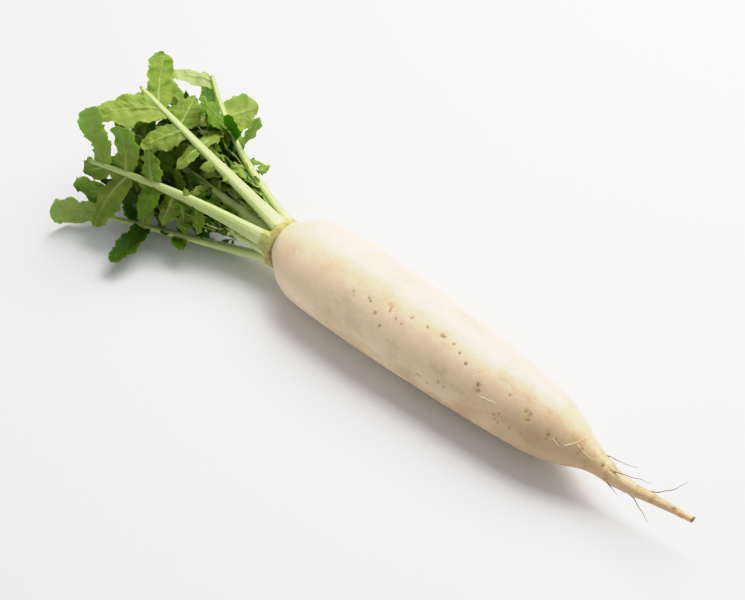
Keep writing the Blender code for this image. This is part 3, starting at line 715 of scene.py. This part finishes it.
def scar_marks(rng, x, around, radius):
    """How brown the scars are at each point of the root, and how deep they are in millimetres: each is a
    bell over the way to its middle, along the root and round it."""
    scar = np.zeros((len(x), len(around)))
    hollow = np.zeros((len(x), len(around)))
    for place, degrees, wide, long, deep, brown in scar_table(rng):
        turn = np.angle(np.exp(1j * (around - radians(degrees))))[None]
        mark = bell((x[:, None] / MM - place) / long) * bell(turn * radius[:, None] / MM / wide)
        scar = np.maximum(scar, mark * brown)
        hollow += 1.4 * mark * deep
    return scar, hollow


def tan_and_shade_marks(x, around):
    """How tan the skin is at each point of the root: more towards the tail, in three steps, and mostly on
    the near side. It is partly the skin's own tan and partly painted shade on the near side, which is
    turned from the light."""
    near = eased((0.38 + 0.5 * np.cos(around - radians(100))) / 0.8)[None]
    steps = (0.18, -0.12, 0.14), (0.22, -0.02, 0.08), (0.55, 0.06, 0.06)
    ripe = sum(share * eased((x - start) / length) for share, start, length in steps)
    return np.clip(ripe[:, None] * (0.04 + 0.96 * near), 0, 1)


def root_piece(look):
    """The root: rings round its bent middle line. Each ring's radius is the outline's, with low swells,
    hollows at the scars, and lengthwise creases and rings that grow towards the tail."""
    rings, sides = 400, 240
    rng = np.random.default_rng(11)
    known = np.array([p[0] for p in ROOT_OUTLINE]) * MM
    arc = np.concatenate([[0], np.cumsum(np.hypot(np.diff(known), np.diff(root_radius(known))))])
    x = np.interp(np.linspace(0, arc[-1], rings), arc, known)
    around = np.arange(sides) / sides * 2 * pi
    sway, height = root_axis(x)
    radius = root_radius(x)
    out = np.stack([np.zeros(sides), -np.sin(around), np.cos(around)], axis=-1)
    middle = np.stack([x, sway, height], axis=-1)
    level = middle[:, None] + radius[:, None, None] * out
    tail = eased((x - 0.135) / 0.045)[:, None]
    swell = 0.12 * swells(rng, level, 0.05) + 0.05 * swells(rng, level * (1, 0.35, 0.35), 0.008)
    crease = np.cos(7 * around + 2 * np.sin(2 * around))[None] * 0.014 * tail
    ring = swells(rng, level * (1, 0.5, 0.5), 0.006) * 0.03 * tail
    scar, hollow = scar_marks(rng, x, around, radius)
    grown = radius[:, None] * (1 + crease + ring) + (swell * (1 - tail) - hollow) * MM
    rings_of_points = middle[:, None] + grown[..., None] * out
    rings_of_points[..., 2] = np.maximum(rings_of_points[..., 2], 0.0)
    shape = Shape("scar", "tail", "crown", "tan")
    points, quads, triangles = tube(rings_of_points)
    cut = eased((x - 0.2335) / 0.001)[:, None]
    crown = eased((-0.1415 - x) / 0.002)[:, None]
    ends = {"scar": (0, 1.0), "tail": (0, 1), "crown": (1, 0), "tan": (0, 1)}
    scar = np.maximum(scar, 0.9 * cut)
    # tan holds painted shade on the near side as well as the skin's own tan.
    marks = {"scar": scar, "tail": tail, "crown": crown, "tan": tan_and_shade_marks(x, around)}
    whole = {k: np.append(np.broadcast_to(m, (rings, sides)).ravel(), ends[k]) for k, m in marks.items()}
    shape.add(points, quads, triangles, **whole)
    return shape.piece("daikon_root", look, "skin", ["root"])


# -------------------------------------------------------------------------------------------- stalks


def crown_x(out):
    """Where along X the crown's surface is, at this distance from the root's middle line."""
    x = np.linspace(ROOT_OUTLINE[0][0], SHOULDER, 200) * MM
    return np.interp(out, np.maximum.accumulate(root_radius(x)), x)


def stalk_width(spec, t):
    """Full width, narrowing from the base to the tip."""
    _, base, _, tip = spec["size"]
    return (base + (tip - base) * t**0.8) * MM


def stalk_frame(spec, count):
    """Along a stalk: its points, its directions, the directions across it, and its upper face's
    directions."""
    length = spec["size"][0] * MM
    t = np.linspace(0, 1, count)
    heading = spec["heading"][0] + (spec["heading"][1] - spec["heading"][0]) * t
    rise = spec["rise"][0] + (spec["rise"][1] - spec["rise"][0]) * t
    along = direction(heading, rise)
    ring, out = radians(spec["ring"][0]), spec["ring"][1] * MM
    start = np.array([crown_x(0) - 0.3 * MM, out * sin(ring), HEIGHT_AT_CROWN[1] + out * cos(ring)])
    steps = (along[1:] + along[:-1]) / 2 * length / (count - 1)
    points = start + np.concatenate([[np.zeros(3)], np.cumsum(steps, axis=0)])
    level = unit(np.cross(along, [0, 0, 1.0]))
    upright = unit(np.cross(level, along))
    across = cos(ring) * level - sin(ring) * upright
    face = np.cross(along, across)
    points[:, 2] = np.maximum(points[:, 2], stalk_width(spec, t) / 2 + 0.3 * MM)
    return points, along, across, face


def add_stalk(shape, spec, rng, rings=200, sides=48):
    """Adds a stalk: an oval carried along its line, flared where it grows from the crown, with a shallow
    channel on its upper face, fine ribs below, and a blunt cut end."""
    line, along, across, face = stalk_frame(spec, rings)
    length, base, thick, _ = spec["size"]
    t = np.linspace(0, 1, rings)
    flare = 1 + 0.22 * np.exp(-t * length / 9)  # fades over 9 mm
    width = stalk_width(spec, t) / 2 * flare
    around = np.arange(sides) / sides * 2 * pi
    channel = 0.20 * bell((around - pi / 2) / 0.55)[None] * (1 - t[:, None]) ** 0.5
    ribs = 0.018 * np.cos(11 * around + 0.6)[None] * (1 - 0.5 * t[:, None])
    end = eased((t - 0.988) / 0.012)
    uneven = 0.9 * np.cos(3 * around + 1.0) + 0.5 * np.cos(8 * around)
    neck = eased((spec["neck"] + uneven - (t * length)[:, None]) / 5.0 + 0.5)
    size = (1 - channel + ribs + 0.04 * neck) * (1 - 0.45 * end**3)[:, None]
    side = (width[:, None] * size * np.cos(around))[..., None] * across[:, None]
    rise = (width[:, None] * thick / base * size * np.sin(around))[..., None] * face[:, None]
    knots = 0.10 * MM * swells(rng, line, 0.02)[:, None, None] * across[:, None]
    rings_of_points = line[:, None] + side + rise + knots
    rings_of_points[0] += 3.0 * MM * np.array([1.0, 0, 0])
    points, quads, triangles = tube(rings_of_points[:, ::-1])
    marks = {"along": t, "dry": eased((t - 0.978) / 0.014), "deep": t * 0 + spec["deep"]}
    whole = {k: np.append(np.repeat(m, sides), (m[0], m[-1])) for k, m in marks.items()}
    whole["neck"] = np.append(neck[:, ::-1].ravel(), (1, 0))
    shape.add(points, quads, triangles, **whole)


def stalk_piece(leaf, look):
    """The stalk of one of the leaves."""
    shape = Shape(*STALK_MARKS)
    add_stalk(shape, LEAVES[leaf], np.random.default_rng(len(leaf) * 7 + 3))
    return shape.piece(f"leaf_stalk_{leaf}", look, "stalk", [f"stalk_{leaf}"])


# -------------------------------------------------------------------------------------------- blades


def above_table(z):
    """Heights kept off the table: unchanged well above it, and levelling out just over it."""
    low, soft = 0.8 * MM, 3 * MM
    return low + soft * np.logaddexp(0, (z - low) / soft * 3) / 3


def blade_line(start, normal, spec, u):
    """A blade's middle line from its base: it bends by curl towards normal, and turns by sweep in its own
    plane, half of it each way, so that its tip stays straight ahead of its base.

    It gives the line's points, and the directions across it and of its upper face."""
    bend = (radians(spec["curl"]) * u)[:, None]
    heading = np.cos(bend) * start + np.sin(bend) * normal
    facing = np.cos(bend) * normal - np.sin(bend) * start
    across = np.cross(start, normal) * spec["side"]
    turn = (radians(spec["sweep"]) * (u - 0.5))[:, None]
    swept = np.cos(turn) * heading + np.sin(turn) * across
    steps = (swept[1:] + swept[:-1]) / 2 * (np.diff(u) * spec["size"][0] * MM)[:, None]
    line = np.concatenate([[np.zeros(3)], np.cumsum(steps, axis=0)])
    return line, np.cross(swept, facing), facing


def teeth(rng, u, count):
    """Teeth along an edge, 0 in the gaps and 1 at the points: each has a slow rise and a sudden fall."""
    swing = u + 0.045 * np.cos(2 * pi * (1.5 * u + rng.uniform(0, 1)))
    phase = (count * swing + rng.uniform(0, 1)) % 1.0
    return np.minimum(phase / 0.72, (1 - phase) / 0.28) ** 1.5


def blade_edge(rng, u, outline, spec):
    """Half width at u along a blade, in millimetres, on one side of its midrib, and how near it is to a
    tooth's point.

    It is the outline, rounded off at the tip by the root of 1 - u to a power, with large and small
    teeth."""
    length, width = spec["size"]
    body = width / 2 * smooth_through(outline, u) * np.sqrt(1 - u**TIP_POWER)
    large = teeth(rng, u, max(2.0, length / rng.uniform(7.5, 10.0)))
    small = teeth(rng, u, max(4.0, length / rng.uniform(2.8, 3.8)))
    fade = eased(u / 0.12) * eased((1 - u) / 0.05) * min(1.0, width / 14)
    half = body + (spec["lobe"] * (large - 0.45) + spec["teeth"] * (small - 0.4)) * fade
    return np.maximum(half, 0.5 * (1 - u)), np.maximum(large, 0.8 * small) ** 4


def vein_marks(u, across, spec):
    """How much of a vein there is at u along and across millimetres out: the midrib and its side veins.

    A side vein leaves the midrib at a slant and bends forwards. Each mark is a bell over the distance to
    it."""
    along = u * spec["size"][0]
    midrib = bell(across / (1.25 - 0.85 * u)) * (1 - 0.4 * u)
    alternate = np.where(across > 0, 0.5, 0.0) * VEIN_SPACING
    uneven = 0.7 * np.sin(0.9 * along + 2.0 * np.sign(across)) + 0.35 * np.sin(1.1 * across + along)
    slanted = along - 0.75 * np.abs(across) - 0.018 * across**2 + alternate + uneven
    start = np.round(slanted / VEIN_SPACING) * VEIN_SPACING
    size = np.clip(1 - np.abs(across) / (0.6 * spec["size"][1]), 0, 1) ** 0.5
    side = bell((slanted - start) / 0.36) * size * (start > 1) * 0.75
    return np.maximum(midrib, side)


def half_widths(rng, u, v, spec):
    """The half width at each point of a blade's grid, and how near it is to a tooth's point."""
    outer, outer_points = blade_edge(rng, u, spec["outer"], spec)
    inner, inner_points = blade_edge(rng, u, spec["inner"], spec)
    is_outer = v * spec["side"] > 0
    half = np.where(is_outer, outer[:, None], inner[:, None])
    return half, np.where(is_outer, outer_points[:, None], inner_points[:, None])


def bent_section(rng, line, half, v, spec):
    """Millimetres sideways and towards the upper face at each point of a blade's grid: v times the half
    width, bent by the cup into an arc and turned up by the fold."""
    cup = radians(spec["cup"]) * (1 + 0.4 * swells(rng, line, 0.03))[:, None] + 1e-4
    side = half * np.sin(cup * v) / cup
    lift = half * (1 - np.cos(cup * v)) / cup
    fold = radians(spec["fold"]) * np.tanh(np.abs(v) * 4)
    return (
        side * np.cos(fold) - lift * np.sin(fold) * np.sign(v),
        lift * np.cos(fold) + np.abs(side) * np.sin(fold),
    )


def ruffles(rng, u, v, spec):
    """The height of a blade's ruffles in millimetres: v squared times waves, with each edge's own."""
    waves = rng.uniform(1.8, 2.8, 2)
    phases = rng.uniform(0, 1, 2)
    count = np.where(v < 0, waves[0], waves[1])
    phase = np.where(v < 0, phases[0], phases[1])
    waving = np.sin(2 * pi * (count * u[:, None] + phase))
    return spec["wave"] * v**2 * waving * eased(u / 0.25)[:, None]


def blade_surface(base, start, normal, along, spec, rng):
    """One blade as a grid: points of its upper and lower surfaces, and its marks.

    At u along and v across, a point lies on the middle line plus its bent section. Beside the stalk,
    sideways is the stalk's own direction. The edges ruffle, and between the veins the blade puffs up."""
    length, width = spec["size"]
    rows = int(np.clip(length / spec["mesh"], 12, 96))
    columns = 2 * int(np.clip(width / spec["mesh"] / 2.4, 3, 22)) + 1
    u = np.sin(np.linspace(0, 1, rows) * pi / 2) ** 1.1
    v = np.linspace(-1, 1, columns)
    line, sideways, facing = blade_line(start, normal, spec, u)
    if spec["at"] < 1:
        joined = spec["joined"] * (1 - eased(u / 0.35))[:, None]
        sideways = unit(sideways + joined * (along * spec["side"] - sideways))
    half, pointed = half_widths(rng, u, v, spec)
    vein = vein_marks(u[:, None], half * v, spec)
    side, lift = bent_section(rng, line, half, v, spec)
    ruffle = ruffles(rng, u, v, spec)
    puff = 0.35 * (1 - vein) * (1 - v**4) * min(1.0, width / 14)
    flat = line[:, None] + (side * MM)[..., None] * sideways[:, None]
    blisters = 0.6 * swells(rng, flat, 0.010) * eased(u / 0.2)[:, None]
    lift = (lift + ruffle * width / 22 + puff + blisters) * MM
    grid = base + flat + lift[..., None] * facing[:, None]
    grid[..., 2] = above_table(grid[..., 2])
    outwards = unit(np.cross(np.gradient(grid, axis=1), np.gradient(grid, axis=0)))
    thick = (BLADE_THICKNESS / 2 * (1 - 0.75 * v**6))[None, :, None]
    ridge = (1.0 * MM * vein * (1 - 0.7 * u[:, None]) * min(1.0, width / 18))[..., None]
    tone = spec["tone"] + rng.uniform(-0.12, 0.12) + spec["ripen"] * u[:, None] + 0 * v
    dry = pointed * (np.abs(v) > 0.97)
    marks = {"vein": vein, "dry": dry, "margin": 0 * u[:, None] + v**8, "tone": tone}
    return grid + outwards * (thick - 0.25 * ridge), grid - outwards * (thick + ridge), marks


def add_blade(shape, base, start, normal, along, spec, rng):
    """Adds a blade as a closed plate: its upper grid, its lower grid and a rim that joins them."""
    top, below, marks = blade_surface(base, start, normal, along, spec, rng)
    rows, columns = marks["vein"].shape
    count = rows * columns
    cells = grid_quads(rows, columns)
    rim = np.concatenate([
        np.arange(columns),
        np.arange(1, rows) * columns + columns - 1,
        (rows - 1) * columns + np.arange(columns - 2, -1, -1),
        np.arange(rows - 2, 0, -1) * columns,
    ])
    after = np.roll(rim, -1)
    band = np.stack([rim, rim + count, after + count, after], axis=-1)
    shape.add(
        np.concatenate([top.reshape(-1, 3), below.reshape(-1, 3)]),
        np.concatenate([cells, cells[:, ::-1] + count, band]),
        upper=np.repeat([1.0, 0.0], count),
        **{mark: np.tile(values.ravel(), 2) for mark, values in marks.items()},
    )


def leaflet_frame(leaf, spec):
    """Where a leaflet starts beside its stalk, its direction there, its upper face's direction and the
    stalk's."""
    points, along, across, face = stalk_frame(leaf, 101)
    n = int(round(spec["at"] * 100))
    spread, tilt = radians(spec["spread"]), radians(spec["tilt"])
    outwards = spec["side"] * cos(tilt) * across[n] + sin(tilt) * face[n]
    start = cos(spread) * along[n] + sin(spread) * outwards
    normal = unit(face[n] - (face[n] @ start) * start)
    sideways = np.cross(start, normal)
    twist = radians(spec["twist"]) * spec["side"]
    normal = cos(twist) * normal + sin(twist) * sideways
    reach = stalk_width(leaf, spec["at"]) / 2 * 0.6
    base = points[n] + (-along[n] * 2 * MM if spec["at"] == 1 else outwards * reach)
    return base, start, normal, along[n]


def lobe_specs(leaf, rng):
    """The lobes beside a stalk's lower part: alternate, larger towards the tip, and each turned its own
    way."""
    low, high = LOBED[leaf]
    length = LEAVES[leaf]["size"][0]
    for number, at in enumerate(np.arange(low, high, LOBE_SPACING / length)):
        size = (7 + 7 * (at - low) / (high - low)) * rng.uniform(0.7, 1.2)
        yield leaflet(
            at, 1 if number % 2 else -1, rng.uniform(50, 95), rng.uniform(-30, 50), rng.uniform(-40, 40),
            rng.uniform(-10, 40), (size, size * rng.uniform(0.6, 0.9)), tone=rng.uniform(-0.2, 1.3),
            outer=POINTED, inner=POINTED, lobe=1.0, teeth=0.5, wave=0.8, mesh=0.9,
        )


def blades_piece(leaf, look):
    """All the leaflets of a leaf, and the lobes below them."""
    shape = Shape(*BLADE_MARKS)
    for number, spec in enumerate(LEAFLETS[leaf] + SMALL_LEAFLETS.get(leaf, ()), 1):
        rng = np.random.default_rng([len(leaf), ord(leaf[0]), number])
        add_blade(shape, *leaflet_frame(LEAVES[leaf], spec), spec, rng)
    rng = np.random.default_rng([len(leaf), ord(leaf[0])])
    for spec in lobe_specs(leaf, rng):
        add_blade(shape, *leaflet_frame(LEAVES[leaf], spec), spec, rng)
    nodes = [f"leaflet_{leaf}_{n}" for n in range(1, len(LEAFLETS[leaf]) + 1)]
    return shape.piece(f"leaf_blades_{leaf}", look, "blade", nodes)


def undergrowth_pieces(stalk_look, blade_look):
    """The leaves of the undergrowth: one piece for their stalks and two for their leaflets, on the near
    side and on the far side. The leaflets stand in pairs and grow smaller towards the crown."""
    stalks = Shape(*STALK_MARKS)
    blades = {side: Shape(*BLADE_MARKS) for side in ("near", "far")}
    for number, leaf in enumerate(UNDERGROWTH):
        rng = np.random.default_rng([number, 17])
        add_stalk(stalks, leaf, rng, rings=40, sides=14)
        side = "near" if leaf["heading"][0] < 0 else "far"
        gap = 0.42 * leaf["blade"] / leaf["size"][0]
        places = [1.0, *np.repeat(np.arange(0.93, 0.24, -gap), 2)]
        for turn, at in enumerate(places):
            size = leaf["blade"] * (0.35 + 0.65 * eased((at - 0.1) / 0.7)) * rng.uniform(0.8, 1.1)
            spec = leaflet(
                at, 1 if turn % 2 else -1, rng.uniform(-15, 15) if at == 1 else rng.uniform(50, 85),
                rng.uniform(-30, 30), rng.uniform(-30, 30), rng.uniform(0, 40),
                (size, size * rng.uniform(0.58, 0.72)), fold=rng.uniform(0, 22),
                sweep=rng.uniform(-25, 15), tone=leaf["tone"] + rng.uniform(-0.25, 0.25),
                outer=BROAD, lobe=1.5, mesh=1.0,
            )
            add_blade(blades[side], *leaflet_frame(leaf, spec), spec, rng)
    stalks.piece("undergrowth_stalks", stalk_look, "stalk", [])
    for side, shape in blades.items():
        shape.piece(f"undergrowth_blades_{side}", blade_look, "blade", [])


# ----------------------------------------------------------------------------------- crown and hairs


def crown_piece(look):
    """The crown's neck between the skin and the stalks: rings that close over the root's end, with a
    swelling towards each stalk and creases between them."""
    rings, sides = 60, 160
    rng = np.random.default_rng(5)
    s = np.linspace(0, 1, rings)
    around = np.arange(sides) / sides * 2 * pi
    back = smooth_through(((0, -138.6), (0.2, -142.6), (0.45, -147.2), (0.7, -150.5), (1, -151.5)), s)
    out = smooth_through(((0, 18.6), (0.2, 18.2), (0.45, 15.8), (0.7, 10.5), (1, 0.4)), s)
    y = out[:, None] * -np.sin(around) - 0.8
    z = out[:, None] * np.cos(around) + HEIGHT_AT_CROWN[1] / MM - 1.2
    lump = np.zeros((rings, sides))
    for spec in LEAVES.values():
        turn, far = radians(spec["ring"][0]), spec["ring"][1]
        width = spec["size"][1] * 0.58
        away = np.hypot(y - far * sin(turn), z - HEIGHT_AT_CROWN[1] / MM - far * cos(turn))
        lump = np.maximum(lump, bell(away / width))
    creases = swells(rng, np.stack([0 * y, y, z], axis=-1), 3.5) * 0.6
    rough = creases + 0.35 * swells(rng, np.stack([0 * y, y, z], axis=-1), 1.4)
    x = back[:, None] - 5.0 * lump - rough * eased(s / 0.1)[:, None]
    rings_of_points = np.stack([x, y, z], axis=-1) * MM
    shape = Shape("dry")
    points, quads, triangles = tube(rings_of_points[:, ::-1])
    dry = np.clip(0.85 - 1.9 * s[:, None] - 0.25 * lump + 0 * y, 0, 1)
    shape.add(points, quads[:, ::-1], triangles[:, ::-1], dry=np.append(dry[:, ::-1].ravel(), (1.0, 0.0)))
    return shape.piece("crown", look, "stalk", [])


def hair_line(spec, count):
    """A hair root's points: it leaves the tail's side at an angle to it, and turns downwards."""
    x = spec["at"] * MM
    sway, height = root_axis(np.array([x]))
    turned = radians(spec["round"])
    out = np.array([0.0, -sin(turned), cos(turned)])
    down = np.array([0.0, 0.0, -1.0])
    lean, bend = radians(spec["lean"]), np.radians(spec["bend"]) * np.linspace(0, 1, count)
    ahead = cos(lean) * np.array([1.0, 0.0, 0.0]) + sin(lean) * out
    heading = unit(ahead + np.tan(bend)[:, None] * down)
    start = np.array([x, sway[0], height[0]]) + out * float(root_radius(x)) * 0.8
    steps = heading[1:] * spec["length"] * MM / (count - 1)
    return start + np.concatenate([[np.zeros(3)], np.cumsum(steps, axis=0)]), heading


def lying_line(path, count):
    """A fine hair's points on the skin, through the points of its path."""
    s = np.linspace(0, len(path) - 1, count)
    x = smooth_through([(n, x) for n, (x, _) in enumerate(path)], s) * MM
    turned = np.radians(smooth_through([(n, degrees) for n, (_, degrees) in enumerate(path)], s))
    sway, height = root_axis(x)
    out = np.stack([0 * x, -np.sin(turned), np.cos(turned)], axis=-1)
    line = np.stack([x, sway, height], axis=-1) + (root_radius(x) + 0.2 * MM)[:, None] * out
    return line, unit(np.gradient(line, axis=0))


def add_hair(shape, line, heading, thick, waver, rng, pale):
    """Adds a hair: a thin wavering tube that narrows to a point."""
    sides = 8
    around = np.arange(sides) / sides * 2 * pi
    t = np.linspace(0, 1, len(line))
    level = unit(np.cross(heading, [0, 0, 1.0]))
    upright = np.cross(level, heading)
    sway = np.stack([swells(rng, line, 0.014), swells(rng, line, 0.014)])[..., None]
    line = line + waver * eased(t / 0.2)[:, None] * (sway[0] * level + sway[1] * upright)
    radius = (thick / 2 * (1 - 0.6 * t**0.9))[:, None, None]
    turned = np.stack([np.cos(around), np.sin(around)])[:, None, :, None]
    ring = turned[0] * level[:, None] + turned[1] * upright[:, None]
    points, quads, triangles = tube(line[:, None] + radius * ring)
    shape.add(points, quads, triangles, pale=pale)


def hair_piece(look):
    """The hair roots on the tail, and the fine pale hairs that lie on the skin."""
    shape = Shape("pale")
    for number, spec in enumerate(HAIR_ROOTS):
        rng = np.random.default_rng([number, 3])
        add_hair(shape, *hair_line(spec, 60), HAIR_ROOT_THICK, 0.5 * MM, rng, 0.0)
    for number, path in enumerate(LYING_HAIRS):
        rng = np.random.default_rng([number, 4])
        add_hair(shape, *lying_line(path, 40), LYING_HAIR_THICK, 0.0, rng, 1.0)
    nodes = [f"hair_root_{n}" for n in range(1, len(HAIR_ROOTS) + 1)]
    return shape.piece("hair_roots", look, "hair", nodes)


# -------------------------------------------------------------------------------------- studio, view


def table_top(look):
    """The level square that the radish lies on."""
    mesh = bpy.data.meshes.new("table_top")
    half = 4.0
    corners = [(-half, -half, 0), (half, -half, 0), (half, half, 0), (-half, half, 0)]
    mesh.from_pydata(corners, [], [(0, 1, 2, 3)])
    mesh.materials.append(look)
    floor = bpy.data.objects.new("table_top", mesh)
    bpy.context.scene.collection.objects.link(floor)


def soft_light(name, place, target, size, power):
    """A panel of light of this size at place, turned to target with its long side level."""
    lamp = bpy.data.lights.new(name, "AREA")
    lamp.shape = "RECTANGLE"
    lamp.size, lamp.size_y = size
    lamp.energy = power
    made = bpy.data.objects.new(name, lamp)
    made.location = place
    made.rotation_mode = "QUATERNION"
    made.rotation_quaternion = (Vector(target) - Vector(place)).to_track_quat("-Z", "Y")
    bpy.context.scene.collection.objects.link(made)


def studio():
    """One large soft light behind the radish, and an even pale world."""
    soft_light("key", (-0.14, 0.64, 1.10), (-0.02, 0.0, 0.03), (1.2, 1.05), 25.0)
    world = bpy.data.worlds.new("studio")
    world.use_nodes = True
    background = world.node_tree.nodes["Background"]
    background.inputs["Color"].default_value = (0.98, 0.99, 1.0, 1.0)
    background.inputs["Strength"].default_value = 0.43
    bpy.context.scene.world = world


def film():
    """How scene light becomes picture tone: as it is up to a half, and drawn together above that, so that
    the lightest tones keep their shape. Each pair is (light, tone)."""
    settings = bpy.context.scene.view_settings
    settings.view_transform = "Standard"
    settings.use_curve_mapping = True
    curves = settings.curve_mapping
    brightest = 2.2
    curves.white_level = (brightest,) * 3
    line = curves.curves[3].points
    line[1].location = (1.0, 1.0)
    for light, tone in ((0.25, 0.25), (0.5, 0.5), (0.86, 0.80), (1.27, 0.905), (1.6, 0.965)):
        line.new(light / brightest, tone)
    curves.update()


def camera():
    """It stands on the near side, beyond the tail, and looks down at the radish."""
    azimuth, elevation, distance = radians(42.74), radians(48.0), 1.311
    target = Vector((-0.061698, 0.009992, 0.020324))
    back = Vector((sin(azimuth) * cos(elevation), -cos(azimuth) * cos(elevation), sin(elevation)))
    lens = bpy.data.cameras.new("camera")
    lens.lens = 85.0
    lens.sensor_width = 36.0
    lens.clip_start = 0.05
    lens.clip_end = 50.0
    made = bpy.data.objects.new("camera", lens)
    made.location = target + back * distance
    made.rotation_mode = "QUATERNION"
    made.rotation_quaternion = (-back).to_track_quat("-Z", "Y")
    bpy.context.scene.collection.objects.link(made)
    bpy.context.scene.camera = made


def main():
    skin, stalk, blade = skin_finish(), stalk_finish(), blade_finish()
    root_piece(skin)
    crown_piece(crown_finish())
    for leaf in LEAVES:
        stalk_piece(leaf, stalk)
        blades_piece(leaf, blade)
    undergrowth_pieces(stalk, blade)
    hair_piece(hair_finish())
    table_top(table_finish())
    studio()
    camera()
    film()


main()
